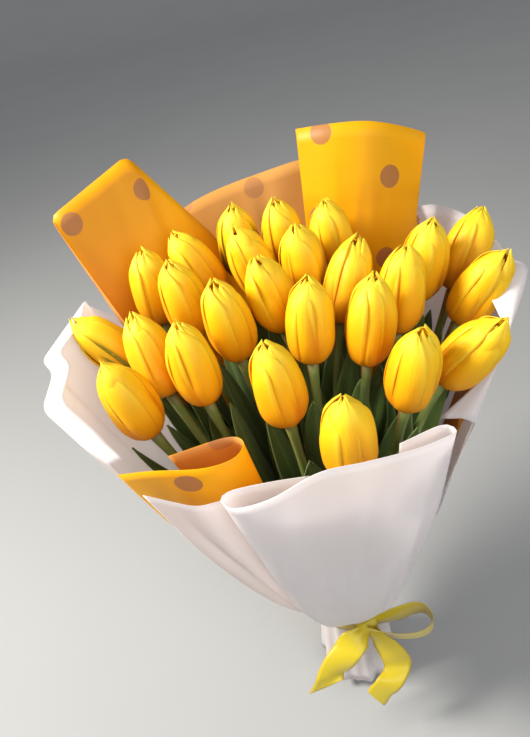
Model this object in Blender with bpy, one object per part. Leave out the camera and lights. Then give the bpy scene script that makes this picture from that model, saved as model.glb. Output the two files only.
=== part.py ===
"""A hand-held bouquet: 25 yellow tulips in dotted yellow and frosted white film, tied with a satin bow.

The origin is the middle of the stems where a hand holds them, just under the ribbon. +Z runs up the
bouquet, -Y is its front and +X is to the right of someone looking at the front. Sizes are in
millimetres, and MM turns them to metres.
"""

import math

import bmesh
import bpy
import numpy as np
from mathutils import Vector

MM = 0.001

# Tulips
HEAD_LENGTH = 64.0
HEAD_RADIUS = 17.8
HEAD_SIDES = 8
STEM_SIDES = 6
STEM_RADIUS = 3.4
STEM_END = -70.0
TIE_HEIGHT = 28.0
GAP = 0.4
LEAF_TURN = math.tau * 0.382
LEAF_THICKNESS = 1.2
LEAF_JOIN = 0.05
LEAF_TOP = 0.92
CROWN_HEIGHT = 301.0
CROWN_TILT = 0.3
CROWN_CURVE = 0.001

# Each flower from front to back: its place across and back, then its lean to the right and back in degrees.
FLOWERS = (
    (5, -80, 0, 0),
    (-25, -40, -5, 5),
    (50, -45, 10, -5),
    (80, -30, 30, -20),
    (-115, -15, -15, 5),
    (-80, -5, -5, 5),
    (0, 0, 5, 5),
    (35, -10, 10, 5),
    (-100, 5, -10, 15),
    (-45, 20, -5, 0),
    (25, 30, 20, 10),
    (65, 15, 10, 5),
    (110, 20, 25, -15),
    (-120, 40, -35, 5),
    (-15, 35, -10, -5),
    (90, 45, 10, -5),
    (-80, 60, -5, 0),
    (10, 65, -5, -5),
    (115, 50, 25, 10),
    (-10, 75, -15, 0),
    (35, 80, -5, 0),
    (-95, 80, 0, 0),
    (-60, 90, -20, 5),
    (-30, 100, 0, -5),
    (5, 95, -5, -5),
)

# Film
FILM_THICKNESS = 0.7
NECK_RADIUS = 27.0
NECK_HALF_HEIGHT = 10.0
LAYER_STEP = 1.15
SKIRT_END = -68.0
SKIRT_FLARE = 1.12
RIM_STEPS = 3
SWELL_HEIGHTS = (0.0, 0.07, 0.18, 0.34, 0.55, 0.78, 1.0)
# Each sheet: its layer from the stems outwards, its first and last angle round the neck, whether its rim
# runs straight or smoothly between its corners, the corners, and its fullness, which makes it swell just
# above the neck where it is under 1.
FILMS = (
    (
        "yellow_film_left", 0, (100, 172), "straight",
        ((-28, 122, 298), (-50, 136, 349), (-100, 134, 427), (-164, 108, 402), (-130, 72, 324)),
        0.76,
    ),
    (
        "yellow_film_right", 0, (93, 35), "smooth",
        ((28, 130, 420), (50, 114, 423), (77, 107, 421), (105, 112, 410), (125, 124, 397), (112, 138, 390)),
        0.76,
    ),
    (
        "yellow_film_back", 1, (25, 165), "smooth",
        ((120, 128, 328), (102, 152, 362), (60, 166, 384), (0, 166, 382), (-68, 160, 370), (-130, 142, 338)),
        0.74,
    ),
    (
        "white_film_left", 2, (135, 212), "straight",
        (
            (-138, 130, 290), (-160, 98, 332), (-154, 80, 345), (-178, 14, 340),
            (-169, 2, 337), (-173, -30, 332), (-150, -52, 312), (-136, -62, 304),
        ),
        0.69,
    ),
    (
        "white_film_right", 2, (95, -54), "smooth",
        (
            (95, 172, 310), (130, 134, 336), (154, 92, 332), (162, 45, 318),
            (152, 6, 332), (124, -26, 304), (92, -56, 266),
        ),
        0.74,
    ),
    (
        "yellow_film_front_left", 3.2, (204, 268), "smooth",
        (
            (-133, -67, 300), (-108, -86, 315), (-78, -95, 317), (-60, -91, 316),
            (-54, -80, 316), (-64, -71, 314), (-98, -76, 314),
        ),
        0.67,
    ),
    (
        "yellow_film_front_right", 1, (14, -22), "straight",
        ((122, 36, 234), (118, 8, 262), (111, -21, 287), (101, -33, 270)),
        0.84,
    ),
    (
        "white_film_front_left", 4.3, (203, 240), "straight",
        ((-112, -102, 314), (-86, -106, 300), (-62, -95, 290), (-30, -88, 284)),
        0.65,
    ),
    (
        "white_film_front", 5.2, (230, 308), "smooth",
        (
            (-22, -105, 304), (-44, -105, 306), (-65, -107, 308), (-71, -113, 309), (-64, -119, 307),
            (-44, -123, 313), (-18, -123, 324), (8, -119, 320), (36, -112, 314), (56, -104, 310),
            (63, -97, 306), (56, -93, 308), (30, -100, 308),
        ),
        0.60,
    ),
)

# Ribbon
RIBBON_WIDTH = 25.0
RIBBON_THICKNESS = 1.2
BAND_RADIUS = 33.5
BAND_HEIGHT = 18.0
KNOT_PLACE = Vector((6.0, -39.0, 29.5))
KNOT_HALF_WIDTH = 10.5
KNOT_HALF_DEPTH = 6.0
# Steps from the knot along the loop and along each tail.
LOOP_STEPS = ((0, 0, 3), (24, -4, 12), (46, -5, 12), (60, -6, 4), (50, -12, -2), (26, -16, 0), (0, -4, 0))
LEFT_TAIL_STEPS = ((0, 0, -2), (-14, -12, 0), (-30, -20, -13), (-42, -25, -28), (-52, -31, -39))
RIGHT_TAIL_STEPS = ((2, 0, -2), (11, -15, -4), (18, -26, -20), (14, -36, -35), (2, -44, -47), (-3, -48, -56))


def clear_scene():
    """Removes every object of the startup scene."""
    for item in list(bpy.data.objects):
        bpy.data.objects.remove(item)


def material(name, colour, roughness, transmission=0.0):
    """A Principled material with one colour."""
    made = bpy.data.materials.new(name)
    made.use_nodes = True
    shader = made.node_tree.nodes["Principled BSDF"]
    shader.inputs["Base Color"].default_value = (*colour, 1.0)
    shader.inputs["Roughness"].default_value = roughness
    shader.inputs["Transmission Weight"].default_value = transmission
    return made


def mesh_object(name, points, faces, surface):
    """An object from points in millimetres, with all its faces turned outwards."""
    mesh = bpy.data.meshes.new(name)
    mesh.from_pydata([Vector(point) * MM for point in points], [], faces)
    shaped = bmesh.new()
    shaped.from_mesh(mesh)
    bmesh.ops.recalc_face_normals(shaped, faces=shaped.faces)
    shaped.to_mesh(mesh)
    shaped.free()
    mesh.materials.append(surface)
    made = bpy.data.objects.new(name, mesh)
    bpy.context.scene.collection.objects.link(made)
    return made


def side_axes(direction):
    """Two unit vectors square to a direction, the first one as level as possible."""
    across = Vector((0, 1, 0)).cross(direction)
    across.normalize()
    return across, direction.cross(across)


def ring_faces(first, second):
    """Quads between two rings of the same number of points."""
    count = len(first)
    return [
        (first[i], first[(i + 1) % count], second[(i + 1) % count], second[i])
        for i in range(count)
    ]


# ---- where the tulips are ----


def flower_places():
    """Each flower's lowest point and the direction that it points in, front row first."""
    places = []
    for across, back, lean_right, lean_back in FLOWERS:
        height = CROWN_HEIGHT + CROWN_TILT * back - CROWN_CURVE * (across**2 + back**2)
        axis = Vector((math.tan(math.radians(lean_right)), math.tan(math.radians(lean_back)), 1))
        places.append((Vector((across, back, height)), axis.normalized()))
    return spread_flowers(places)


def spread_flowers(places):
    """Moves neighbouring flowers apart, level, until their sides just clear each other."""
    stations = np.array((0.22, 0.5, 0.78)) * HEAD_LENGTH
    radii = np.array((0.93, 1.0, 0.84)) * HEAD_RADIUS
    reach = radii[:, None] + radii[None, :] + 2 * GAP
    bases = np.array([base for base, _ in places])
    axes = np.array([axis for _, axis in places])
    for _ in range(120):
        centres = bases[:, None] + stations[None, :, None] * axes[:, None]
        for i in range(len(places)):
            for j in range(i):
                apart = np.linalg.norm(centres[i][:, None] - centres[j][None], axis=2)
                overlap = (reach - apart).max()
                if overlap > 0:
                    push = centres[i][1] - centres[j][1]
                    push[2] = 0
                    push *= 0.5 * overlap / max(np.linalg.norm(push), 1.0)
                    bases[i] += push
                    bases[j] -= push
                    centres[i] += push
                    centres[j] -= push
    return [(Vector(base), Vector(axis)) for base, axis in zip(bases, axes)]


def tie_places(places):
    """Where each stem passes through the tie: below its flower, packed side by side."""
    spots = np.array([(base.x, base.y) for base, _ in places]) * 0.17
    least = 2 * STEM_RADIUS + GAP
    for _ in range(400):
        spots *= 0.985
        for i in range(len(spots)):
            for j in range(i):
                between = spots[i] - spots[j]
                apart = np.linalg.norm(between)
                if apart < least:
                    push = between * 0.5 * (least - apart) / max(apart, 0.1)
                    spots[i] += push
                    spots[j] -= push
    return [Vector((x, y, TIE_HEIGHT)) for x, y in spots]


def stem_point(tie, base, axis, along):
    """A point of the stem's centre line: 0 at the tie and 1 at the flower, bending to the flower's lean."""
    start = base - tie
    end = (axis + start.normalized()) * 0.5 * start.length
    a = along
    return (
        tie * (2 * a**3 - 3 * a**2 + 1)
        + start * (a**3 - 2 * a**2 + a)
        + base * (3 * a**2 - 2 * a**3)
        + end * (a**3 - a**2)
    )


# ---- one tulip ----


def make_flower(name, base, axis, surface):
    """The closed flower: a bud with a flat seat on its stem."""
    lower_half = ((0, 0.2), (0.05, 0.56), (0.18, 0.88), (0.4, 1))
    upper_half = ((0.64, 0.92), (0.84, 0.64), (0.96, 0.32), (1, 0.1))
    profile = lower_half + upper_half
    across, up = side_axes(axis)
    points = []
    for along, width in profile:
        centre = base + axis * (GAP + along * HEAD_LENGTH)
        for i in range(HEAD_SIDES):
            angle = math.tau * i / HEAD_SIDES
            offset = across * math.cos(angle) + up * math.sin(angle)
            points.append(centre + offset * width * HEAD_RADIUS)
    rings = [list(range(k * HEAD_SIDES, (k + 1) * HEAD_SIDES)) for k in range(len(profile))]
    faces = [face for k in range(len(rings) - 1) for face in ring_faces(rings[k], rings[k + 1])]
    faces += [tuple(rings[0]), tuple(rings[-1])]
    return mesh_object(name, points, faces, surface)


def leaf_room(place, others):
    """How far a leaf may stand off its stem's centre line here: just under half-way to the next stem."""
    nearest = min((place - spot).length for line in others for spot in line)
    return nearest / 2 - GAP


def make_stem(name, tie, base, axis, others, leaf_turn, leaf_start, surface):
    """A stem with its leaf, grown as one piece: the leaf clasps the stem and opens upwards round it."""
    sides = STEM_SIDES
    foot = Vector((tie.x * SKIRT_FLARE, tie.y * SKIRT_FLARE, STEM_END))
    stations = [0.0, leaf_start - LEAF_JOIN, leaf_start, leaf_start + LEAF_JOIN, 0.55, 0.7, 0.85, 1.0]
    centres = [foot] + [stem_point(tie, base, axis, along) for along in stations]
    points = []
    for k, centre in enumerate(centres):
        before = centres[max(k - 1, 0)]
        after = centres[min(k + 1, len(centres) - 1)]
        direction = (after - before).normalized() if 0 < k < len(centres) - 1 else axis
        if k == 0:
            direction = Vector((0, 0, 1))
        across, up = side_axes(direction)
        for i in range(sides):
            angle = leaf_turn + math.tau * i / sides
            points.append(centre + (across * math.cos(angle) + up * math.sin(angle)) * STEM_RADIUS)
    rings = [list(range(k * sides, (k + 1) * sides)) for k in range(len(centres))]
    faces = [tuple(rings[0]), tuple(rings[-1])]
    for k in range(len(rings) - 1):
        # The leaf grows out of two sides of the stem, from the ring before leaf_start to the one after it.
        grown = (sides - 1, 0) if k in (2, 3) else ()
        quads = ring_faces(rings[k], rings[k + 1])
        faces += [quad for i, quad in enumerate(quads) if i not in grown]
    low, middle, high = rings[2], rings[3], rings[4]
    edge = [middle[-1], low[-1], low[0], low[1], middle[1], high[1], high[0], high[-1]]
    faces += leaf_faces(points, edge, tie, base, axis, others, leaf_turn, leaf_start)
    return drop_loose(mesh_object(name, points, faces, surface))


def leaf_faces(points, edge, tie, base, axis, others, leaf_turn, leaf_start):
    """Adds the leaf's points, eight round each of its sections, and returns its faces."""
    faces = []
    previous = edge
    # Height along the stem from the leaf's base, width as an angle round the stem, and distance from it.
    wide_part = ((0.12, 55, 5.6), (0.3, 85, 7.4), (0.5, 85, 9.6))
    tip_part = ((0.72, 65, 12.2), (0.9, 34, 14.4), (1.0, 8, 15.4))
    reach = LEAF_TOP - leaf_start
    for along, half_width, distance in wide_part + tip_part:
        station = leaf_start + 0.04 + along * reach
        centre = stem_point(tie, base, axis, station)
        direction = (stem_point(tie, base, axis, station + 0.02) - centre).normalized()
        across, up = side_axes(direction)
        distance = max(min(distance, leaf_room(centre, others)), STEM_RADIUS + LEAF_THICKNESS + 0.5)
        ring = []
        for share, inset in ((-1, 0.5), (-0.6, 1), (0, 1), (0.6, 1), (1, 0.5), (0.6, 0), (0, 0), (-0.6, 0)):
            angle = leaf_turn + math.radians(half_width) * share
            radius = distance - LEAF_THICKNESS * (1 - inset)
            ring.append(len(points))
            points.append(centre + (across * math.cos(angle) + up * math.sin(angle)) * radius)
        faces += ring_faces(previous, ring)
        previous = ring
    faces.append(tuple(previous))
    return faces


def drop_loose(thing):
    """Removes points that no face uses."""
    shaped = bmesh.new()
    shaped.from_mesh(thing.data)
    unused = [point for point in shaped.verts if not point.link_faces]
    bmesh.ops.delete(shaped, geom=unused, context="VERTS")
    shaped.to_mesh(thing.data)
    shaped.free()
    return thing


# ---- film ----


def straight_through(corners, per_span):
    """Points along straight runs between corners."""
    line = []
    for first, second in zip(corners, corners[1:]):
        line += [first.lerp(second, k / per_span) for k in range(per_span)]
    return line + [corners[-1]]


def smooth_through(corners, per_span):
    """Points along a smooth curve through every corner."""
    ends = [corners[0] * 2 - corners[1], *corners, corners[-1] * 2 - corners[-2]]
    line = []
    for i in range(len(corners) - 1):
        a, b, c, d = ends[i : i + 4]
        for k in range(per_span):
            t = k / per_span
            bend = (a * 2 - b * 5 + c * 4 - d) * t**2 + (b * 3 - a - c * 3 + d) * t**3
            line.append(b + ((c - a) * t + bend) * 0.5)
    return line + [corners[-1]]


def make_film(name, layer, turns, rim, fullness, surface):
    """One sheet: a skirt below the tie, gathered at the neck, and fanned out to its rim.

    The arguments are what FILMS gives, with the rim as a line of points.
    """
    radius = NECK_RADIUS + layer * LAYER_STEP
    columns = len(rim)
    angles = [math.radians(turns[0] + (turns[1] - turns[0]) * i / (columns - 1)) for i in range(columns)]
    top_level = TIE_HEIGHT + NECK_HALF_HEIGHT
    neck = [Vector((radius * math.cos(angle), radius * math.sin(angle), top_level)) for angle in angles]
    points = []
    for level, wide in ((SKIRT_END, SKIRT_FLARE), (TIE_HEIGHT - NECK_HALF_HEIGHT, 1.0)):
        points += [Vector((spot.x * wide, spot.y * wide, level)) for spot in neck]
    for height in SWELL_HEIGHTS:
        for low, top in zip(neck, rim):
            spot = low.lerp(top, height**fullness)
            spot.z = low.z + (top.z - low.z) * height
            points.append(spot)
    rows = len(SWELL_HEIGHTS) + 2
    faces = [
        (r * columns + c, r * columns + c + 1, (r + 1) * columns + c + 1, (r + 1) * columns + c)
        for r in range(rows - 1)
        for c in range(columns - 1)
    ]
    made = mesh_object(name, points, faces, surface)
    thick = made.modifiers.new("thickness", "SOLIDIFY")
    thick.thickness = FILM_THICKNESS * MM
    thick.offset = 0
    return made


def make_films(yellow, white):
    """All nine sheets. Each rim goes round in the same direction as the sheet's angles."""
    for name, layer, turns, path, rim, fullness in FILMS:
        corners = [Vector(corner) for corner in rim]
        through = straight_through if path == "straight" else smooth_through
        line = through(corners, RIM_STEPS)
        make_film(name, layer, turns, line, fullness, white if "white" in name else yellow)


# ---- ribbon ----


def strip(name, centres, widths, surface):
    """A flat ribbon: its centre line, and the half-width vector at each point of it."""
    points = []
    for centre, half in zip(centres, widths):
        points += [centre - half, centre, centre + half]
    faces = []
    for k in range(len(centres) - 1):
        for c in range(2):
            faces.append((3 * k + c, 3 * k + c + 1, 3 * k + c + 4, 3 * k + c + 3))
    made = mesh_object(name, points, faces, surface)
    thick = made.modifiers.new("thickness", "SOLIDIFY")
    thick.thickness = RIBBON_THICKNESS * MM
    thick.offset = 0
    return made


def make_knot(surface):
    """The knot: a flattened ball."""
    mesh = bpy.data.meshes.new("knot")
    shaped = bmesh.new()
    bmesh.ops.create_uvsphere(shaped, u_segments=10, v_segments=6, radius=1.0)
    for point in shaped.verts:
        point.co *= KNOT_HALF_WIDTH * MM
        point.co.y *= KNOT_HALF_DEPTH / KNOT_HALF_WIDTH
    shaped.to_mesh(mesh)
    shaped.free()
    mesh.materials.append(surface)
    made = bpy.data.objects.new("knot", mesh)
    made.location = KNOT_PLACE * MM
    bpy.context.scene.collection.objects.link(made)
    return made


def bow_strip(name, steps, half, surface):
    """A length of ribbon from the knot through some steps, narrower where it leaves the knot."""
    line = smooth_through([KNOT_PLACE + Vector(step) for step in steps], 2)
    halves = [half * (0.45 + 0.55 * min(1, (point - KNOT_PLACE).length / 30)) for point in line]
    return strip(name, line, halves, surface)


def make_ribbon(surface):
    """The satin ribbon, one piece: a band round the neck, the knot, one loop and two tails."""
    band = turned_ring("ribbon_bow", BAND_RADIUS, BAND_HEIGHT, RIBBON_THICKNESS, surface)
    upright = Vector((0.15, -0.3, 1)).normalized() * RIBBON_WIDTH / 2
    sideways = Vector((1, 0, 0.25)).normalized() * RIBBON_WIDTH / 2
    pieces = (
        make_knot(surface),
        bow_strip("loop", LOOP_STEPS, upright, surface),
        bow_strip("left_tail", LEFT_TAIL_STEPS, sideways, surface),
        bow_strip("right_tail", RIGHT_TAIL_STEPS, sideways, surface),
    )
    for piece in pieces:
        joined = band.modifiers.new(piece.name, "BOOLEAN")
        joined.operation = "UNION"
        joined.object = piece
        piece.hide_render = True
        piece.display_type = "WIRE"


def turned_ring(name, radius, height, thickness, surface):
    """A flat-sided ring round the tie."""
    sides = 32
    points = []
    for wide, level in ((0, -0.5), (thickness, -0.5), (thickness, 0.5), (0, 0.5)):
        for i in range(sides):
            angle = math.tau * i / sides
            outer = radius + wide
            points.append((outer * math.cos(angle), outer * math.sin(angle), TIE_HEIGHT + height * level))
    rings = [list(range(k * sides, (k + 1) * sides)) for k in range(4)]
    faces = [face for k in range(4) for face in ring_faces(rings[k], rings[(k + 1) % 4])]
    return mesh_object(name, points, faces, surface)


def main():
    clear_scene()
    petal = material("petal", (0.95, 0.68, 0.03), 0.5)
    green = material("leaf_green", (0.1, 0.24, 0.06), 0.5)
    yellow = material("yellow_film", (0.82, 0.5, 0.06), 0.45, 0.2)
    white = material("white_film", (0.85, 0.83, 0.83), 0.5, 0.3)
    satin = material("satin", (0.78, 0.66, 0.05), 0.35)
    places = flower_places()
    ties = tie_places(places)
    lines = [[stem_point(tie, *place, k / 40) for k in range(46)] for place, tie in zip(places, ties)]
    for i, ((base, axis), tie) in enumerate(zip(places, ties)):
        others = lines[:i] + lines[i + 1 :]
        label = f"tulip_{i + 1:02d}"
        make_flower(f"{label}_flower", base, axis, petal)
        leaf_turn = LEAF_TURN * i
        leaf_start = 0.22 + 0.04 * (i % 4)
        make_stem(f"{label}_stem_and_leaf", tie, base, axis, others, leaf_turn, leaf_start, green)
    make_films(yellow, white)
    make_ribbon(satin)


main()
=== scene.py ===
"""A bouquet of yellow tulips in dotted yellow and frosted white film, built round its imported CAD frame.

Every length is in metres, in the frame of the CAD model: the stems stand on Z, the front is -Y, and the
origin is the middle of the grip, just under the ribbon.
"""

import math
import random

import bmesh
import bpy
import numpy as np
from mathutils import Matrix, Vector, noise


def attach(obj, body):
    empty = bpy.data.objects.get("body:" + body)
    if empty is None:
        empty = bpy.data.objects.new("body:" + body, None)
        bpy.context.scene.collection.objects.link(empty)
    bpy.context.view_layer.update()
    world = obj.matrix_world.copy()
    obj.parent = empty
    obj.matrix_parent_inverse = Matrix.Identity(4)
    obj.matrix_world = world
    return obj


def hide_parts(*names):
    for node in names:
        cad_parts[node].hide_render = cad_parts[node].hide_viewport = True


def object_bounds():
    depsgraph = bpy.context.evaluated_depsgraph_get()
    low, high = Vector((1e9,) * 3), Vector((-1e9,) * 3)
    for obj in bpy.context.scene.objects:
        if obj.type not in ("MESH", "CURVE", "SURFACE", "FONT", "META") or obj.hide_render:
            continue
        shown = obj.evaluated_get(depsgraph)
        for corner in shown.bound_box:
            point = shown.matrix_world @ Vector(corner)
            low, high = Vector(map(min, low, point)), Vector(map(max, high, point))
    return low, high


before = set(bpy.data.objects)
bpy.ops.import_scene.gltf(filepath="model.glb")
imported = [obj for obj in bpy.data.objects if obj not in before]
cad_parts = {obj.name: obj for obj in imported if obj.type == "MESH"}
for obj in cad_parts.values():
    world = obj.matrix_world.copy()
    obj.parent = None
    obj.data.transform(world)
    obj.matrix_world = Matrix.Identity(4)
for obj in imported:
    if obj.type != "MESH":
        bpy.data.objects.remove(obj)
CAD_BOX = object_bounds()

MM = 0.001

# Camera
CAMERA_PLACE = Vector((-0.033, -0.3324, 0.5462))
CAMERA_PITCH = math.radians(36)
CAMERA_ROLL = math.radians(12.5)
CAMERA_LENS = 29.31
LEVEL = Vector((1, 0, 0))
STEEP = Vector((0, math.sin(CAMERA_PITCH), math.cos(CAMERA_PITCH)))
VIEW_FORWARD = Vector((0, math.cos(CAMERA_PITCH), -math.sin(CAMERA_PITCH)))
VIEW_RIGHT = LEVEL * math.cos(CAMERA_ROLL) - STEEP * math.sin(CAMERA_ROLL)
VIEW_UP = LEVEL * math.sin(CAMERA_ROLL) + STEEP * math.cos(CAMERA_ROLL)

# Tulips, as the CAD model sets them out
FLOWERS = 25
GREEN_FLAMED = (14, 24)
TIE_HEIGHT = 28 * MM
SKIRT_FLARE = 1.12
STEM_RADIUS = 3.4 * MM
STEM_END = -70 * MM
TURN_STEP = math.tau * 0.382
PETAL_THICKNESS = 0.45 * MM
LEAF_THICKNESS = 0.6 * MM

# Film, as the CAD model sets it out
NECK_RADIUS = 27 * MM
NECK_HALF_HEIGHT = 10 * MM
LAYER_STEP = 1.15 * MM
SKIRT_END = -68 * MM
FILM_THICKNESS = 0.35 * MM
DOT_SPACING = 62 * MM
DOT_RADIUS = 8.7 * MM
FILM_COLUMNS = 64
CREASE_DEPTH = 1.3 * MM
# The film's two faces: the ground, its darker clouds and the dots.
YELLOW_FACE = ((1.0, 0.56, 0.002), (0.86, 0.40, 0.0008), (0.48, 0.21, 0.09))
TAN_FACE = ((0.80, 0.44, 0.12), (0.70, 0.36, 0.085), (0.60, 0.28, 0.10))
# Sheets whose rim is folded in: the way that the fold lies, and its widths in millimetres at shares of the
# rim's length.
HEMS = {
    "white_film_left": ((0.9, 0.3, 0.1), ((0.32, 0), (0.45, 13), (0.9, 13), (1, 8))),
    "white_film_right": (
        (-0.87, 0.45, 0.1),
        ((0.42, 0), (0.5, 21), (0.72, 19), (0.8, 0), (0.87, 0), (1, 22)),
    ),
}
# Each sheet as the CAD model has it: its layer from the stems outwards, its first and last angle round the
# neck, whether its rim has corners or is smooth, the rim in millimetres, and how full it is. Then its faces,
# how the dots are shifted in millimetres and turned in degrees on it, and the width, length and area of the
# fan-shaped cut that it opens out to, in metres.
FILMS = (
    (
        "yellow_film_left", 0, (100, 172), "corners",
        ((-28, 122, 298), (-50, 136, 349), (-100, 134, 427), (-164, 108, 402), (-130, 72, 324)),
        0.76, "yellow_inside", (36, 96), 0, (0.263, 0.520), 0.043,
    ),
    (
        "yellow_film_right", 0, (93, 35), "smooth",
        ((28, 130, 420), (50, 114, 423), (77, 107, 421), (105, 112, 410), (125, 124, 397), (112, 138, 390)),
        0.76, "yellow_outside", (32, 100), -90, (0.133, 0.505), 0.036,
    ),
    (
        "yellow_film_back", 1, (25, 165), "smooth",
        ((120, 128, 328), (102, 152, 362), (60, 166, 384), (0, 166, 382), (-68, 160, 370), (-130, 142, 338)),
        0.74, "yellow_outside", (15, 15), 0, (0.277, 0.483), 0.075,
    ),
    (
        "white_film_left", 2, (135, 212), "corners",
        (
            (-138, 130, 290), (-160, 98, 332), (-154, 80, 345), (-178, 14, 340),
            (-169, 2, 337), (-173, -30, 332), (-150, -52, 312), (-136, -62, 304),
        ),
        0.69, "white", (0, 0), 0, (0.230, 0.446), 0.054,
    ),
    (
        "white_film_right", 2, (95, -54), "smooth",
        (
            (95, 172, 310), (130, 134, 336), (154, 92, 332), (162, 45, 318),
            (152, 6, 332), (124, -26, 304), (92, -56, 266),
        ),
        0.74, "white", (0, 0), 0, (0.284, 0.438), 0.069,
    ),
    (
        "yellow_film_front_left", 3.2, (204, 268), "smooth",
        (
            (-133, -67, 300), (-108, -86, 315), (-78, -95, 317), (-60, -91, 316),
            (-54, -80, 316), (-64, -71, 314), (-98, -76, 314),
        ),
        0.67, "yellow_outside", (21, 39), 0, (0.147, 0.405), 0.031,
    ),
    (
        "yellow_film_front_right", 1, (14, -22), "corners",
        ((122, 36, 234), (118, 8, 262), (111, -21, 287), (101, -33, 270)),
        0.84, "yellow_inside", (0, 0), 0, (0.096, 0.366), 0.015,
    ),
    (
        "white_film_front_left", 4.3, (203, 240), "corners",
        ((-112, -102, 314), (-86, -106, 300), (-62, -95, 290), (-30, -88, 284)),
        0.65, "white", (0, 0), 0, (0.092, 0.409), 0.018,
    ),
    (
        "white_film_front", 5.2, (230, 308), "smooth",
        (
            (-22, -105, 304), (-44, -105, 306), (-65, -107, 308), (-71, -113, 309), (-64, -119, 307),
            (-44, -123, 313), (-18, -123, 324), (8, -119, 320), (36, -112, 314), (56, -104, 310),
            (63, -97, 306), (56, -93, 308), (30, -100, 308),
        ),
        0.60, "white", (0, 0), 0, (0.228, 0.411), 0.049,
    ),
)

# Ribbon
RIBBON_WIDTH = 25 * MM
RIBBON_THICKNESS = 0.5 * MM
BAND_RADIUS = 35 * MM
BAND_HEIGHT = 18 * MM
RIBBON_AT_KNOT = 0.45
KNOT_PLACE = Vector((6, -39, 29.5)) * MM
# Each length of ribbon, as seen from the camera: its steps from the knot to the right, up and nearer in
# millimetres, and the way that its width lies along it.
LOOP_STEPS = (
    (0, 2, 2), (14, 7, 3), (30, 11, 2), (44, 14, -2), (54, 12, -4), (59, 5, 2),
    (54, 0, 8), (42, -3, 12), (26, -4, 12), (12, -3, 9), (0, -1, 5),
)
LOOP_SIDES = ((-0.15, 0.75, 0.6), (-0.2, 0.75, 0.6), (-0.3, 0.65, 0.65), (0, 0.5, 0.85), (0, 0.5, 0.85))
LEFT_TAIL_STEPS = ((-1, -1, 4), (-12, -10, 10), (-23, -27, 8), (-31, -42, 4), (-36, -55, 2))
LEFT_TAIL_SIDES = ((0.8, -0.5, -0.3), (0.85, -0.35, 0.5), (0.85, -0.5, -0.4), (0.86, -0.5, -0.1))
RIGHT_TAIL_STEPS = (
    (2, -1, 4), (12, -10, 10), (22, -22, 10), (27, -34, 6), (20, -46, 10), (12, -56, 8), (8, -64, 6),
)
RIGHT_TAIL_SIDES = ((0.6, 0.6, 0.5), (0.5, 0.5, 0.7), (0.95, 0.3, 0.2), (0.97, -0.2, 0.0), (0.97, 0.2, 0.0))

# ---- materials ----


def add(tree, kind, inputs=None, **settings):
    """Adds a node. Each input, by name or number, takes a value or the output that feeds it."""
    made = tree.nodes.new("ShaderNode" + kind)
    for key, value in settings.items():
        setattr(made, key, value)
    for key, value in (inputs or {}).items():
        if isinstance(value, bpy.types.NodeSocket):
            tree.links.new(value, made.inputs[key])
        else:
            made.inputs[key].default_value = value
    return made


def maths(tree, operation, *values):
    """The output of a Math node."""
    return add(tree, "Math", dict(enumerate(values)), operation=operation).outputs[0]


def blend_colours(tree, factor, first, second):
    """The output of a colour mix: first where the factor is 0, second where it is 1."""
    made = add(tree, "Mix", {0: factor}, data_type="RGBA")
    for socket, value in ((made.inputs[6], first), (made.inputs[7], second)):
        if isinstance(value, bpy.types.NodeSocket):
            tree.links.new(value, socket)
        else:
            socket.default_value = (*value, 1)
    return made.outputs[2]


def ramp(tree, factor, *stops):
    """The colour output of a ramp through (place, colour) stops."""
    made = add(tree, "ValToRGB", {0: factor})
    elements = made.color_ramp.elements
    while len(elements) < len(stops):
        elements.new(0.5)
    for element, (place, colour) in zip(elements, stops):
        element.position = place
        element.color = (*colour, 1)
    return made.outputs[0]


def between(tree, value, low, high):
    """0 below low, 1 above high and smooth between them."""
    inputs = {0: value, 1: low, 2: high}
    return add(tree, "MapRange", inputs, interpolation_type="SMOOTHSTEP").outputs[0]


def noise_of(tree, place, scale, detail=3.0):
    """The output of a Noise Texture."""
    return add(tree, "TexNoise", {"Vector": place, "Scale": scale, "Detail": detail}).outputs[0]


def stretched(tree, place, across, along):
    """A place with its two axes scaled, for streaks."""
    return add(tree, "Mapping", {"Vector": place, "Scale": (across, along, 1)}).outputs[0]


def flat_place(tree):
    """The piece's own flat coordinates."""
    return add(tree, "UVMap", uv_map="flat").outputs[0]


def new_material(name):
    """An empty node material and its tree."""
    made = bpy.data.materials.new(name)
    made.use_nodes = True
    made.node_tree.nodes.clear()
    return made, made.node_tree


def finish_material(tree, colour, roughness, height, depth, through=0.0, glow=None, **sockets):
    """Ends a material: a Principled shader with a bump, and a share of light that passes through."""
    bump = add(tree, "Bump", {"Height": height, "Distance": depth, "Strength": 0.6})
    inputs = {"Base Color": colour, "Roughness": roughness, "Normal": bump.outputs[0]}
    inputs.update({key.replace("_", " "): value for key, value in sockets.items()})
    shader = add(tree, "BsdfPrincipled", inputs)
    if through:
        passed = add(tree, "BsdfTranslucent", {"Color": glow or colour, "Normal": bump.outputs[0]})
        shader = add(tree, "MixShader", {0: through, 1: shader.outputs[0], 2: passed.outputs[0]})
    out = add(tree, "OutputMaterial")
    tree.links.new(shader.outputs[0], out.inputs[0])


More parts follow.
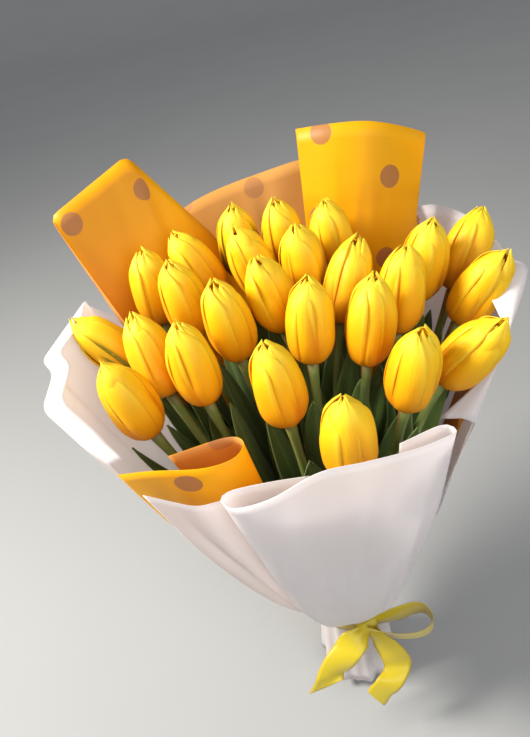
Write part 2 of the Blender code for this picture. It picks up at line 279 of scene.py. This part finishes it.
def petal_material(name, groove_shade_and_flame_colour, groove_shade_and_flame_strength, width):
    """Yellow petal: its own yellow with fine veins, deepened to orange at the base and in a groove by
    painted shade, with a lemon tip and edges in painted highlight; green-flamed petals carry a green flame
    streak in the groove.
    """
    made, tree = new_material(name)
    place = flat_place(tree)
    parts = add(tree, "SeparateXYZ", {0: place})
    across, along = parts.outputs[0], parts.outputs[1]
    # Along the petal: its own yellow, deepened to dark orange towards the base with painted shade and
    # lightened to lemon at the tip with painted highlight.
    body = ramp(
        tree,
        along,
        (0.0, (0.62, 0.26, 0.004)),
        (0.08, (0.90, 0.36, 0.001)),
        (0.4, (0.98, 0.50, 0.0008)),
        (0.75, (1.0, 0.68, 0.003)),
        (1.0, (1.0, 0.84, 0.04)),
    )
    off_centre = maths(tree, "ABSOLUTE", maths(tree, "SUBTRACT", across, 0.5))
    patches = noise_of(tree, stretched(tree, place, 5, 3), 1.0)
    # The groove: a line from the base up to two thirds, with a soft ragged side. On plain petals its orange
    # is painted shade in the groove; on green-flamed petals its green is the flame streak.
    groove = maths(tree, "SUBTRACT", 1.0, between(tree, off_centre, 0.0, width))
    groove = maths(tree, "MULTIPLY", groove, maths(tree, "SUBTRACT", 1.0, between(tree, along, 0.45, 0.9)))
    groove = maths(tree, "MULTIPLY", groove, between(tree, patches, 0.25, 0.45))
    groove = maths(tree, "MINIMUM", 1.0, maths(tree, "MULTIPLY", groove, groove_shade_and_flame_strength))
    colour = blend_colours(tree, groove, body, groove_shade_and_flame_colour)
    # Lemon along the petal's edges, over the middle of its length: painted highlight where the thin edges
    # catch the light.
    edge = maths(tree, "MULTIPLY", between(tree, off_centre, 0.34, 0.5), between(tree, along, 0.25, 0.7))
    colour = blend_colours(tree, maths(tree, "MULTIPLY", edge, 0.6), colour, (1.0, 0.86, 0.05))
    veins = noise_of(tree, stretched(tree, place, 46, 2.2), 1.0, 4.0)
    colour = blend_colours(tree, maths(tree, "MULTIPLY", veins, 0.3), colour, (1.0, 0.76, 0.008))
    roughness = maths(tree, "MULTIPLY_ADD", patches, 0.2, 0.42)
    finish_material(tree, colour, roughness, veins, 0.5 * MM, 0.38, glow=(1.0, 0.62, 0.004, 1.0))
    return made


def leaf_material():
    """Leaf: olive green with parallel veins, a paler midrib, edges lightened with painted highlight, and a
    soft waxy bloom.
    """
    made, tree = new_material("leaf")
    place = flat_place(tree)
    parts = add(tree, "SeparateXYZ", {0: place})
    across, along = parts.outputs[0], parts.outputs[1]
    off_centre = maths(tree, "ABSOLUTE", maths(tree, "SUBTRACT", across, 0.5))
    patches = noise_of(tree, stretched(tree, place, 3, 4), 1.0)
    veins = noise_of(tree, stretched(tree, place, 60, 0.7), 1.0, 2.0)
    colour = ramp(
        tree,
        maths(tree, "MULTIPLY_ADD", patches, 0.6, maths(tree, "MULTIPLY", along, 0.25)),
        (0.15, (0.035, 0.065, 0.012)),
        (0.5, (0.080, 0.140, 0.022)),
        (0.85, (0.170, 0.250, 0.045)),
    )
    colour = blend_colours(tree, maths(tree, "MULTIPLY", veins, 0.35), colour, (0.17, 0.26, 0.06))
    rib = maths(tree, "SUBTRACT", 1.0, between(tree, off_centre, 0.005, 0.04))
    # The pale band along the edges is painted highlight.
    edge = between(tree, off_centre, 0.46, 0.5)
    pale = maths(tree, "MAXIMUM", maths(tree, "MULTIPLY", rib, 0.35), maths(tree, "MULTIPLY", edge, 0.5))
    colour = blend_colours(tree, pale, colour, (0.30, 0.38, 0.13))
    roughness = maths(tree, "MULTIPLY_ADD", patches, 0.25, 0.38)
    finish_material(tree, colour, roughness, veins, 0.6 * MM, 0.25, Sheen_Weight=0.12)
    return made


def stem_material():
    """Stem: pale green, with reddish brown in patches just under the flower."""
    made, tree = new_material("stem")
    place = flat_place(tree)
    along = add(tree, "SeparateXYZ", {0: place}).outputs[1]
    patches = noise_of(tree, stretched(tree, place, 4, 9), 1.0)
    fibres = noise_of(tree, stretched(tree, place, 40, 8), 1.0)
    colour = blend_colours(tree, patches, (0.09, 0.16, 0.03), (0.24, 0.30, 0.08))
    blush = maths(tree, "MULTIPLY", between(tree, along, 0.82, 1.0), between(tree, patches, 0.4, 0.6))
    colour = blend_colours(tree, maths(tree, "MULTIPLY", blush, 0.7), colour, (0.22, 0.07, 0.02))
    roughness = maths(tree, "MULTIPLY_ADD", fibres, 0.2, 0.35)
    finish_material(tree, colour, roughness, fibres, 0.3 * MM)
    return made


def dots(tree, place):
    """1 inside the dots, which lie in staggered rows, and 0 outside them."""
    cell = (DOT_SPACING, DOT_SPACING * math.sqrt(3), 1.0)
    found = None
    for shift in (0.0, 0.5):
        scaled = add(tree, "VectorMath", {0: place, 1: cell}, operation="DIVIDE").outputs[0]
        moved = add(tree, "VectorMath", {0: scaled, 1: (shift, shift, 0)}, operation="ADD").outputs[0]
        inside = add(tree, "VectorMath", {0: moved}, operation="FRACTION").outputs[0]
        centred = add(tree, "VectorMath", {0: inside, 1: (0.5, 0.5, 0)}, operation="SUBTRACT").outputs[0]
        sized = add(tree, "VectorMath", {0: centred, 1: cell}, operation="MULTIPLY").outputs[0]
        away = add(tree, "VectorMath", {0: sized}, operation="LENGTH").outputs[1]
        dot = maths(tree, "SUBTRACT", 1.0, between(tree, away, DOT_RADIUS - 0.5 * MM, DOT_RADIUS))
        found = dot if found is None else maths(tree, "MAXIMUM", found, dot)
    return found


def yellow_film_material(name, ground, ground_dark, dot_colour):
    """One face of the two-tone film: its ground colour, soft clouding, and the dots."""
    made, tree = new_material(name)
    place = flat_place(tree)
    clouds = noise_of(tree, stretched(tree, place, 14, 3), 1.0)
    grain = noise_of(tree, place, 900.0, 2.0)
    colour = blend_colours(tree, between(tree, clouds, 0.35, 0.62), ground_dark, ground)
    colour = blend_colours(tree, maths(tree, "MULTIPLY", dots(tree, place), 0.85), colour, dot_colour)
    roughness = maths(tree, "MULTIPLY_ADD", clouds, 0.16, 0.38)
    finish_material(tree, colour, roughness, grain, 0.05 * MM, 0.42, Specular_IOR_Level=0.3)
    return made


def white_film_material():
    """Frosted white film: slightly pink, with a fine grain and faint clouding."""
    made, tree = new_material("white_film")
    place = flat_place(tree)
    clouds = noise_of(tree, stretched(tree, place, 22, 7), 1.0)
    grain = noise_of(tree, place, 1200.0, 2.0)
    colour = blend_colours(tree, clouds, (0.84, 0.795, 0.79), (0.93, 0.905, 0.905))
    roughness = maths(tree, "MULTIPLY_ADD", clouds, 0.16, 0.42)
    finish_material(tree, colour, roughness, grain, 0.05 * MM, 0.5)
    return made


def satin_material():
    """Satin ribbon: greenish yellow, with fine threads across and along, and a woven edge."""
    made, tree = new_material("satin")
    place = flat_place(tree)
    across = add(tree, "SeparateXYZ", {0: place}).outputs[0]
    threads = noise_of(tree, stretched(tree, place, 60, 2600), 1.0, 1.0)
    cross = noise_of(tree, stretched(tree, place, 140, 600), 1.0, 1.0)
    weave = maths(tree, "MULTIPLY_ADD", cross, 0.5, maths(tree, "MULTIPLY", threads, 0.5))
    colour = blend_colours(tree, weave, (0.50, 0.36, 0.004), (0.70, 0.56, 0.010))
    off_centre = maths(tree, "ABSOLUTE", maths(tree, "SUBTRACT", across, 0.5))
    colour = blend_colours(tree, between(tree, off_centre, 0.45, 0.48), colour, (0.58, 0.40, 0.004))
    roughness = maths(tree, "MULTIPLY_ADD", weave, 0.14, 0.26)
    finish_material(tree, colour, roughness, weave, 0.12 * MM, 0.18, Sheen_Weight=0.3, Anisotropic=0.5)
    return made


def floor_material():
    """A plain pale floor with a faint unevenness."""
    made, tree = new_material("floor")
    place = add(tree, "TexCoord").outputs["Object"]
    clouds = noise_of(tree, place, 3.0)
    colour = blend_colours(tree, clouds, (0.31, 0.31, 0.305), (0.34, 0.34, 0.335))
    finish_material(tree, colour, 0.8, clouds, 0.2 * MM)
    return made


# ---- geometry ----


def smooth_curve(corners, per_span):
    """Points along a smooth curve through every corner."""
    corners = np.asarray(corners, float)
    ends = np.concatenate([2 * corners[:1] - corners[1:2], corners, 2 * corners[-1:] - corners[-2:-1]])
    line = []
    for i in range(len(corners) - 1):
        a, b, c, d = ends[i : i + 4]
        for k in range(per_span):
            t = k / per_span
            bend = (2 * a - 5 * b + 4 * c - d) * t**2 + (3 * b - a - 3 * c + d) * t**3
            line.append(b + ((c - a) * t + bend) * 0.5)
    return np.array(line + [corners[-1]])


def rounded_curve(corners, per_span, reach):
    """Points along straight runs between corners, with each corner cut back by reach and rounded."""
    corners = np.asarray(corners, float)
    line = [corners[0] + (corners[1] - corners[0]) * k / per_span for k in range(per_span // 2)]
    for before, corner, after in zip(corners, corners[1:], corners[2:]):
        into = before - corner
        out = after - corner
        first = corner + into * min(0.5, reach / np.linalg.norm(into))
        last = corner + out * min(0.5, reach / np.linalg.norm(out))
        for k in range(per_span + 1):
            t = k / per_span
            line.append(first * (1 - t) ** 2 + corner * 2 * t * (1 - t) + last * t**2)
        line.append((last + corner + 0.5 * out) * 0.5 if reach < 0.4 * np.linalg.norm(out) else last)
    line.append(corners[-1])
    return np.array(line)


def even_line(line, count):
    """The same line, with points at even steps along it."""
    line = np.asarray(line, float)
    steps = np.concatenate([[0], np.cumsum(np.linalg.norm(np.diff(line, axis=0), axis=1))])
    places = np.linspace(0, steps[-1], count)
    return np.stack([np.interp(places, steps, line[:, axis]) for axis in range(3)], axis=1)


def sheet_object(name, patches, materials, thickness):
    """One object from patches, each (rows of points, rows of flat coordinates), with a thickness."""
    points, places, faces = [], [], []
    for rows, flat in patches:
        rows = np.asarray(rows, float)
        height, width = rows.shape[:2]
        start = len(points)
        points += rows.reshape(-1, 3).tolist()
        places += np.asarray(flat, float).reshape(-1, 2).tolist()
        corners = np.arange(height * width).reshape(height, width) + start
        around = (corners[:-1, :-1], corners[:-1, 1:], corners[1:, 1:], corners[1:, :-1])
        faces += np.stack(around, 2).reshape(-1, 4).tolist()
    mesh = bpy.data.meshes.new(name)
    mesh.from_pydata(points, [], faces)
    layer = mesh.uv_layers.new(name="flat")
    for loop in mesh.loops:
        layer.data[loop.index].uv = places[loop.vertex_index]
    shaped = bmesh.new()
    shaped.from_mesh(mesh)
    bmesh.ops.remove_doubles(shaped, verts=shaped.verts, dist=1e-6)
    shaped.to_mesh(mesh)
    shaped.free()
    mesh.shade_smooth()
    for item in materials:
        mesh.materials.append(item)
    made = bpy.data.objects.new(name, mesh)
    bpy.context.scene.collection.objects.link(made)
    if thickness:
        thick = made.modifiers.new("thickness", "SOLIDIFY")
        thick.thickness = thickness
        thick.offset = 0
        thick.material_offset = len(materials) - 1
    return made


def own_piece(made, slot, *nodes):
    """Puts a piece on the object's one body and hides the CAD nodes it stands for. slot is not used."""
    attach(made, "root")
    if nodes:
        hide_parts(*nodes)
    return made


def side_axes(direction):
    """Two unit vectors square to a direction, the first one as level as possible."""
    across = Vector((0, 1, 0)).cross(direction).normalized()
    return across, direction.cross(across)


# ---- tulips ----


def flower_place(node):
    """The lowest point, the unit direction, the length and the greatest radius of a CAD flower."""
    points = np.array([point.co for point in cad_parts[node].data.vertices])
    points = np.unique(np.round(points, 6), axis=0)
    middle = points.mean(axis=0)
    axis = np.linalg.svd(points - middle)[2][0]
    axis *= np.sign(axis[2])
    along = (points - middle) @ axis
    radius = np.linalg.norm(points - middle - along[:, None] * axis, axis=1).max()
    return Vector(middle + axis * along.min()), Vector(axis), along.max() - along.min(), radius


def tie_place(node):
    """Where a stem passes through the tie, from its cut end."""
    points = np.array([point.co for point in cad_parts[node].data.vertices])
    end = points[points[:, 2] < points[:, 2].min() + 0.1 * MM]
    end = np.unique(np.round(end, 6), axis=0).mean(axis=0)
    return Vector((end[0] / SKIRT_FLARE, end[1] / SKIRT_FLARE, TIE_HEIGHT))


def stem_point(tie, base, axis, along):
    """A point of the stem's centre line: 0 at the tie and 1 at the flower, bending to the flower's lean."""
    start = base - tie
    end = (axis + start.normalized()) * 0.5 * start.length
    a = along
    return (
        tie * (2 * a**3 - 3 * a**2 + 1)
        + start * (a**3 - 2 * a**2 + a)
        + base * (3 * a**2 - 2 * a**3)
        + end * (a**3 - a**2)
    )


def bud_width(along):
    """The bud's half width at a share of its length, beside its greatest half width."""
    if along < 0.36:
        return math.sqrt(max(1 - (1 - along / 0.36) ** 2, 0.01)) ** 0.75
    return 1 - 0.62 * ((along - 0.36) / 0.64) ** 3.0


def petal_patch(base, axis, length, radius, turn, inner, wild):
    """One petal: a lobed shell that wraps round the bud, laps the next one and ends in an uneven tip."""
    across, up = side_axes(axis)
    reach = length * (1.0 if inner else 0.95) * (1 + wild.uniform(-0.04, 0.03))
    shrink = 0.79 if inner else 0.87
    half = math.radians(62 if inner else 76)
    tip_out = wild.uniform(-0.10, 0.04)
    if inner:
        tip_out = 0
    lobe = wild.uniform(0.05, 0.10)
    seed = Vector((wild.uniform(0, 50), wild.uniform(0, 50), 0))
    rows, flat = [], []
    for i in range(29):
        s = (i / 28) ** 0.92
        near_tip = max(0, (s - 0.72) / 0.28)
        spread = half * min(1, 0.72 + 1.6 * s) * math.sqrt(max(1 - near_tip**2.6, 0.02))
        body = math.sin(math.pi * min(1, s * 1.08))
        top = max(0, (s - 0.8) / 0.2)
        row, places = [], []
        for j in range(17):
            t = j / 16 * 2 - 1
            groove = 0.10 * math.exp(-((t / 0.17) ** 2)) * body
            swell = lobe * math.sin(math.pi * min(1, abs(t) * 1.2)) * math.sin(math.pi * s)
            lap = 0.085 * t * math.sin(math.pi * min(1, s * 1.25) * 0.5)
            crinkle = 0.07 * noise.noise(seed + Vector((t * 1.6, s * 2.2, 0)))
            pleat = 0.05 * top * math.sin(t * 9 + seed.x)
            wide = bud_width(s) * shrink * (1 + swell - groove + lap + crinkle + pleat) + tip_out * top**2
            wide = radius * wide * (1 - (0.82 if inner else 0.25) * top**2)
            angle = turn + t * spread + 0.14 * s * wild_lean(seed, s)
            uneven = 0.03 * top * noise.noise(seed + Vector((t * 4, 9, 0)))
            rise = reach * (s + uneven - 0.03 * t**2 * near_tip) + 0.4 * MM
            offset = across * math.cos(angle) + up * math.sin(angle)
            row.append(base + axis * rise + offset * wide)
            places.append((j / 16, s))
        rows.append(row)
        flat.append(places)
    return rows, flat


def wild_lean(seed, s):
    """A slow drift of the petal round the bud."""
    return noise.noise(seed + Vector((3, s * 1.5, 5)))


def make_flower(number, petal):
    """Six petals: three outside, which lap each other, and three inside, which show at the top."""
    node = f"tulip_{number:02d}_flower"
    base, axis, length, radius = flower_place(node)
    wild = random.Random(number * 7)
    turn = TURN_STEP * number + math.radians(-90)
    patches = []
    for k in range(3):
        patches.append(petal_patch(base, axis, length, radius, turn + math.tau * k / 3, False, wild))
        patches.append(petal_patch(base, axis, length, radius, turn + math.tau * (k + 0.5) / 3, True, wild))
    made = sheet_object(f"tulip_{number:02d}_petals", patches, [petal], PETAL_THICKNESS)
    own_piece(made, "petal", node)


def stem_patch(tie, base, axis):
    """The stem's tube, from its cut end to a swelling under the flower."""
    foot = Vector((tie.x * SKIRT_FLARE, tie.y * SKIRT_FLARE, STEM_END))
    line = [foot, foot.lerp(tie, 0.5)] + [stem_point(tie, base, axis, k / 24) for k in range(25)]
    rows, flat = [], []
    for i, centre in enumerate(line):
        before = line[max(i - 1, 0)]
        after = line[min(i + 1, len(line) - 1)]
        across, up = side_axes((after - before).normalized())
        near_top = max(0, (i - len(line) + 3) / 2)
        wide = STEM_RADIUS * (0.94 + 0.3 * near_top**2 + 0.05 * math.sin(i * 1.3))
        ring = []
        for j in range(13):
            angle = math.tau * j / 12
            ring.append(centre + (across * math.cos(angle) + up * math.sin(angle)) * wide)
        rows.append(ring)
        flat.append([(j / 12, i / (len(line) - 1)) for j in range(13)])
    return rows, flat


def end_cap(ring, inwards):
    """A patch that closes a ring of the tube."""
    middle = sum(ring, Vector()) / len(ring) + inwards
    rows = [ring, [point.lerp(middle, 0.5) for point in ring], [middle] * len(ring)]
    flat = [[(0.5, 0.02)] * len(ring) for _ in rows]
    return rows, flat


def leaf_patch(tie, base, axis, others, turn, start, share):
    """A leaf that clasps the stem, opens into a broad blade with a midrib, and ends in a point."""
    rows, flat = [], []
    reach = (1.0 - start) * share
    for i in range(27):
        s = i / 26
        station = min(start + s * reach, 1.04)
        centre = stem_point(tie, base, axis, station)
        direction = (stem_point(tie, base, axis, station + 0.02) - centre).normalized()
        across, up = side_axes(direction)
        nearest = min((centre - spot).length for line in others for spot in line)
        away = STEM_RADIUS + 0.8 * MM + 15 * MM * s**1.2
        away = max(min(away, nearest * 0.5 + 3 * MM), STEM_RADIUS + 1.2 * MM)
        half = 17 * MM * math.sin(math.pi * (0.14 + 0.86 * s) ** 0.9) ** 0.7 if s < 1 else 0
        half = max(half, 0.3 * MM)
        bend = away + 16 * MM * s
        outwards = across * math.cos(turn) + up * math.sin(turn)
        sideways = across * -math.sin(turn) + up * math.cos(turn)
        row, places = [], []
        for j in range(11):
            t = j / 10 * 2 - 1
            angle = t * half / bend
            wave = 1.6 * MM * math.sin(s * 9 + turn * 3) * t**2 * math.sin(math.pi * s)
            keel = -0.9 * MM * (1 - abs(t)) ** 3
            out = away - bend * (1 - math.cos(angle)) + wave + keel
            row.append(centre + outwards * out + sideways * bend * math.sin(angle))
            places.append((j / 10, s))
        rows.append(row)
        flat.append(places)
    return rows, flat


def make_stems(stem, leaf):
    """Each stem with its two leaves."""
    names = [f"tulip_{number:02d}" for number in range(1, FLOWERS + 1)]
    places = [flower_place(f"{name}_flower")[:2] for name in names]
    ties = [tie_place(f"{name}_stem_and_leaf") for name in names]
    lines = [[stem_point(tie, *place, k / 30) for k in range(34)] for place, tie in zip(places, ties)]
    for i, name in enumerate(names):
        base, axis = places[i]
        others = lines[:i] + lines[i + 1 :]
        turn = TURN_STEP * i
        start = 0.2 + 0.04 * (i % 4)
        tube = stem_patch(ties[i], base, axis)
        caps = [end_cap(tube[0][0], Vector((0, 0, 0))), end_cap(tube[0][-1], axis * MM)]
        made = sheet_object(f"{name}_stem", [tube, *caps], [stem], 0)
        own_piece(made, "leaf_green", f"{name}_stem_and_leaf")
        blades = [
            leaf_patch(ties[i], base, axis, others, turn, start, 1.0),
            leaf_patch(ties[i], base, axis, others, turn + 2.6, start + 0.12, 0.88),
        ]
        made = sheet_object(f"{name}_leaves", blades, [leaf], LEAF_THICKNESS)
        own_piece(made, "leaf_green")


# ---- film ----


def gathers(angle, amount):
    """How far the film stands out at an angle round the neck: the same for every layer, so none cross."""
    waves = 0.5 + 0.3 * math.sin(11 * angle) + 0.2 * math.sin(17 * angle + 1.3)
    return 1 + amount * waves


def creases(angle, height, layer):
    """How far a sheet stands out: sharp creases that fan out from the neck and fade towards the rim."""
    long = abs(noise.noise(Vector((angle * 5.5, height * 1.3, layer * 7)))) * 4
    short = abs(noise.noise(Vector((angle * 9 + 4, height * 4, layer * 5)))) * 1.6
    return CREASE_DEPTH * (long + short - 0.8) * 4 * height * (1 - height)


def hem_patch(edge, flat, inwards, widths):
    """A sheet's rim folded in, with its width in millimetres at shares of the rim's length."""
    shares = np.linspace(0, 1, len(edge))
    wide = np.interp(shares, [share for share, _ in widths], [width for _, width in widths]) * MM
    step = np.array(Vector(inwards).normalized())
    rows, places = [], []
    for k in range(6):
        reach = k / 5
        lift = np.array([0, 0, 0.12]) * math.sin(math.pi * min(1, reach * 1.4))
        rows.append(edge + (step * reach + lift) * wide[:, None])
        places.append(flat + np.stack([0 * wide, wide * reach], axis=1))
    return np.array(rows), np.array(places)


def film_rows(layer, turns, rim, fullness, columns):
    """Rows of points from the skirt's edge, through the gathered neck, up to the rim."""
    rim = even_line(rim, columns)
    radius = NECK_RADIUS + layer * LAYER_STEP
    angles = np.radians(np.linspace(turns[0], turns[1], columns))
    top = TIE_HEIGHT + NECK_HALF_HEIGHT
    rows = []
    for step in range(9):
        share = step / 8
        level = SKIRT_END + (TIE_HEIGHT - NECK_HALF_HEIGHT - SKIRT_END) * share
        flare = SKIRT_FLARE + (1 - SKIRT_FLARE) * share
        amount = 0.12 * (1 - share) ** 1.5 + 0.035
        rows.append([ring_point(angle, radius * flare * gathers(angle, amount), level) for angle in angles])
    necks = [np.array(ring_point(angle, radius, top)) for angle in angles]
    for step in range(45):
        height = (step / 44) ** 1.25
        row = []
        for angle, neck, edge in zip(angles, necks, rim):
            spot = neck + (edge - neck) * height**fullness
            spot[2] = neck[2] + (edge[2] - neck[2]) * height
            amount = 0.035 * math.exp(-height * 9) * math.cos(min(height * 2, 1) * math.pi / 2)
            spot[:2] *= gathers(angle, amount)
            spot[:2] *= 1 + creases(angle, height, layer) / np.linalg.norm(spot[:2])
            row.append(spot)
        rows.append(row)
    return np.array(rows)


def ring_point(angle, radius, level):
    """A point at an angle round the neck."""
    return (radius * math.cos(angle), radius * math.sin(angle), level)


def flat_places(rows, shift, turn):
    """The sheet laid flat, as the fan that it would unroll to, in metres."""
    lengths = np.linalg.norm(np.diff(rows, axis=0), axis=2)
    from_end = np.concatenate([np.zeros((1, rows.shape[1])), np.cumsum(lengths, axis=0)])
    top = from_end[-1]
    steps = np.linalg.norm(np.diff(rows[-1], axis=0), axis=1) / ((top[1:] + top[:-1]) / 2)
    swing = np.concatenate([[0], np.cumsum(steps)])
    swing = swing - swing[-1] / 2 + turn
    return np.stack([from_end * np.sin(swing) + shift[0], from_end * np.cos(swing) + shift[1]], axis=2)


def make_film(name, layer, turns, rim, fullness, materials, shift, turn):
    """One sheet of film in place of its CAD node."""
    rows = film_rows(layer, turns, rim * MM, fullness, FILM_COLUMNS)
    flat = flat_places(rows, (shift[0] * MM, shift[1] * MM), turn)
    patches = [(rows, flat)]
    if name in HEMS:
        patches.append(hem_patch(rows[-1], flat[-1], *HEMS[name]))
    made = sheet_object(f"{name}_sheet", patches, materials, FILM_THICKNESS)
    return own_piece(made, "white_film" if "white" in name else "yellow_film", name)


def make_films():
    """The nine sheets of film, each built in place of its CAD node."""
    yellow = yellow_film_material("yellow_face", *YELLOW_FACE)
    tan = yellow_film_material("tan_face", *TAN_FACE)
    white = white_film_material()
    faces = {"yellow_inside": [tan, yellow], "yellow_outside": [yellow, tan], "white": [white]}
    for name, layer, turns, path, rim, fullness, kind, shift, turn, flat, area in FILMS:
        line = rounded_curve(rim, 8, 7) if path == "corners" else smooth_curve(rim, 8)
        made = make_film(name, layer, turns, line, fullness, faces[kind], shift, math.radians(turn))


# ---- ribbon ----


def in_view(right, up, near):
    """A step as seen from the camera: to the right, up and nearer."""
    return VIEW_RIGHT * right + VIEW_UP * up - VIEW_FORWARD * near


def ribbon_patch(steps, sides, count=40, slant=0.0):
    """A length of ribbon through steps from the knot. sides say which way its width lies along it.

    It is narrow at the knot, and slant says how far its far end is cut at an angle.
    """
    steps = [in_view(*step) * MM for step in steps]
    line = even_line(smooth_curve(steps, 12), count) + np.array(KNOT_PLACE)
    sides = even_line(smooth_curve([in_view(*side) for side in sides], 6), count)
    sides = sides / np.linalg.norm(sides, axis=1)[:, None] * RIBBON_WIDTH / 2
    rows, flat = [], []
    for i, (centre, side) in enumerate(zip(line, sides)):
        s = i / (count - 1)
        width = RIBBON_AT_KNOT + (1 - RIBBON_AT_KNOT) * min(1, s * 4.5)
        ahead = line[min(i + 1, count - 1)] - line[max(i - 1, 0)]
        normal = np.cross(ahead, side)
        normal /= max(np.linalg.norm(normal), 1e-9)
        row, places = [], []
        for j in range(9):
            t = j / 8 * 2 - 1
            crease = 1.4 * MM * math.cos(t * math.pi * 1.5) * max(0, 1 - s * 4)
            cup = -0.8 * MM * t**2
            spot = centre + side * t * width + normal * (crease + cup)
            if slant:
                spot = spot + ahead / np.linalg.norm(ahead) * 0.5 * RIBBON_WIDTH * t * slant * s**3
            row.append(spot)
            places.append((j / 8, s * count * 0.1))
        rows.append(row)
        flat.append(places)
    return rows, flat


def band_patch():
    """The ribbon's turn round the neck, over the gathered film."""
    rows, flat = [], []
    for i in range(7):
        level = TIE_HEIGHT + BAND_HEIGHT * (i / 6 - 0.5)
        pinch = 1 - 0.02 * math.sin(math.pi * i / 6)
        ring = []
        for j in range(129):
            angle = math.tau * j / 128
            ring.append(ring_point(angle, BAND_RADIUS * pinch * gathers(angle, 0.01), level))
        rows.append(ring)
        flat.append([(i / 6, j / 128 * 8) for j in range(129)])
    return rows, flat


def knot_patch():
    """The knot: ribbon drawn over itself, with folds that run across it."""
    rows, flat = [], []
    for i in range(17):
        s = i / 16 * 2 - 1
        ring = []
        for j in range(33):
            angle = math.tau * j / 32
            folds = 1 + 0.07 * math.sin(3 * angle + 2 * s) + 0.04 * math.sin(7 * angle - 3 * s)
            wide = (1 - 0.45 * s**2) * folds
            x = s * 10 * MM
            y = -math.cos(angle) * 6.5 * MM * wide
            z = math.sin(angle) * 9.5 * MM * wide
            ring.append(KNOT_PLACE + Vector((x, y, z + 0.15 * x)))
        rows.append(ring)
        flat.append([(i / 16, j / 32 * 2) for j in range(33)])
    return rows, flat


def make_ribbon(satin):
    """The satin ribbon: a band, a knot, one loop and two tails with slanting ends."""
    loop = ribbon_patch(LOOP_STEPS, LOOP_SIDES, count=70)
    left = ribbon_patch(LEFT_TAIL_STEPS, LEFT_TAIL_SIDES, slant=-1.15)
    right = ribbon_patch(RIGHT_TAIL_STEPS, RIGHT_TAIL_SIDES, count=50, slant=0.9)
    patches = [band_patch(), knot_patch(), loop, left, right]
    made = sheet_object("satin_ribbon", patches, [satin], RIBBON_THICKNESS)
    own_piece(made, "satin", "ribbon_bow")


# ---- stage ----


def make_stage():
    """A pale floor that turns up into a backdrop far behind the bouquet."""
    level = CAD_BOX[0].z - 12 * MM
    half, front, back, bend = 12.0, -6.0, 5.0, 3.0
    line = [(front, level), (back, level)]
    line += [
        (back + bend * math.sin(math.radians(a)), level + bend * (1 - math.cos(math.radians(a))))
        for a in range(6, 91, 6)
    ]
    line.append((back + bend, level + 12))
    rows = [[(x, y, z) for x in (-half, half)] for y, z in line]
    flat = [[(0, i), (1, i)] for i in range(len(line))]
    made = sheet_object("backdrop", [(rows, flat)], [floor_material()], 0)


def add_area_light(name, place, target, size, power, colour):
    """A square light that faces its target."""
    lamp = bpy.data.lights.new(name, "AREA")
    lamp.size = size
    lamp.energy = power
    lamp.color = colour
    made = bpy.data.objects.new(name, lamp)
    made.location = place
    made.rotation_euler = (Vector(target) - Vector(place)).to_track_quat("-Z", "Y").to_euler()
    bpy.context.scene.collection.objects.link(made)


def make_lights():
    """Soft studio light: a key from the upper left, a weak fill from the right, and an even surround."""
    middle = (0, 0, 0.3)
    add_area_light("key", (-0.95, 0.05, 1.15), middle, 0.4, 36, (1.0, 0.97, 0.90))
    add_area_light("fill", (0.5, -1.2, 0.9), middle, 1.0, 11, (0.97, 0.98, 1.0))
    world = bpy.data.worlds.new("surround")
    world.use_nodes = True
    world.node_tree.nodes["Background"].inputs[0].default_value = (0.94, 0.96, 1.0, 1)
    world.node_tree.nodes["Background"].inputs[1].default_value = 0.62
    bpy.context.scene.world = world
    bpy.context.scene.view_settings.view_transform = "Standard"


def make_camera():
    """The camera above the front, tilted so that the bouquet leans to the left."""
    lens = bpy.data.cameras.new("camera")
    lens.lens = CAMERA_LENS
    lens.sensor_width = 36
    made = bpy.data.objects.new("camera", lens)
    turned = Matrix((VIEW_RIGHT, VIEW_UP, -VIEW_FORWARD)).transposed()
    made.matrix_world = Matrix.Translation(CAMERA_PLACE) @ turned.to_4x4()
    bpy.context.scene.collection.objects.link(made)
    bpy.context.scene.camera = made


def main():
    make_camera()
    make_lights()
    make_stage()
    # The plain petal's orange groove colour is painted shade; the green-flamed petal's green is its flame
    # streak.
    petal = petal_material("petal", (0.86, 0.24, 0.001), 0.85, 0.13)
    streaked = petal_material("petal_green_flamed", (0.10, 0.15, 0.012), 2.5, 0.16)
    for number in range(1, FLOWERS + 1):
        make_flower(number, streaked if number in GREEN_FLAMED else petal)
    make_stems(stem_material(), leaf_material())
    make_ribbon(satin_material())
    make_films()


main()
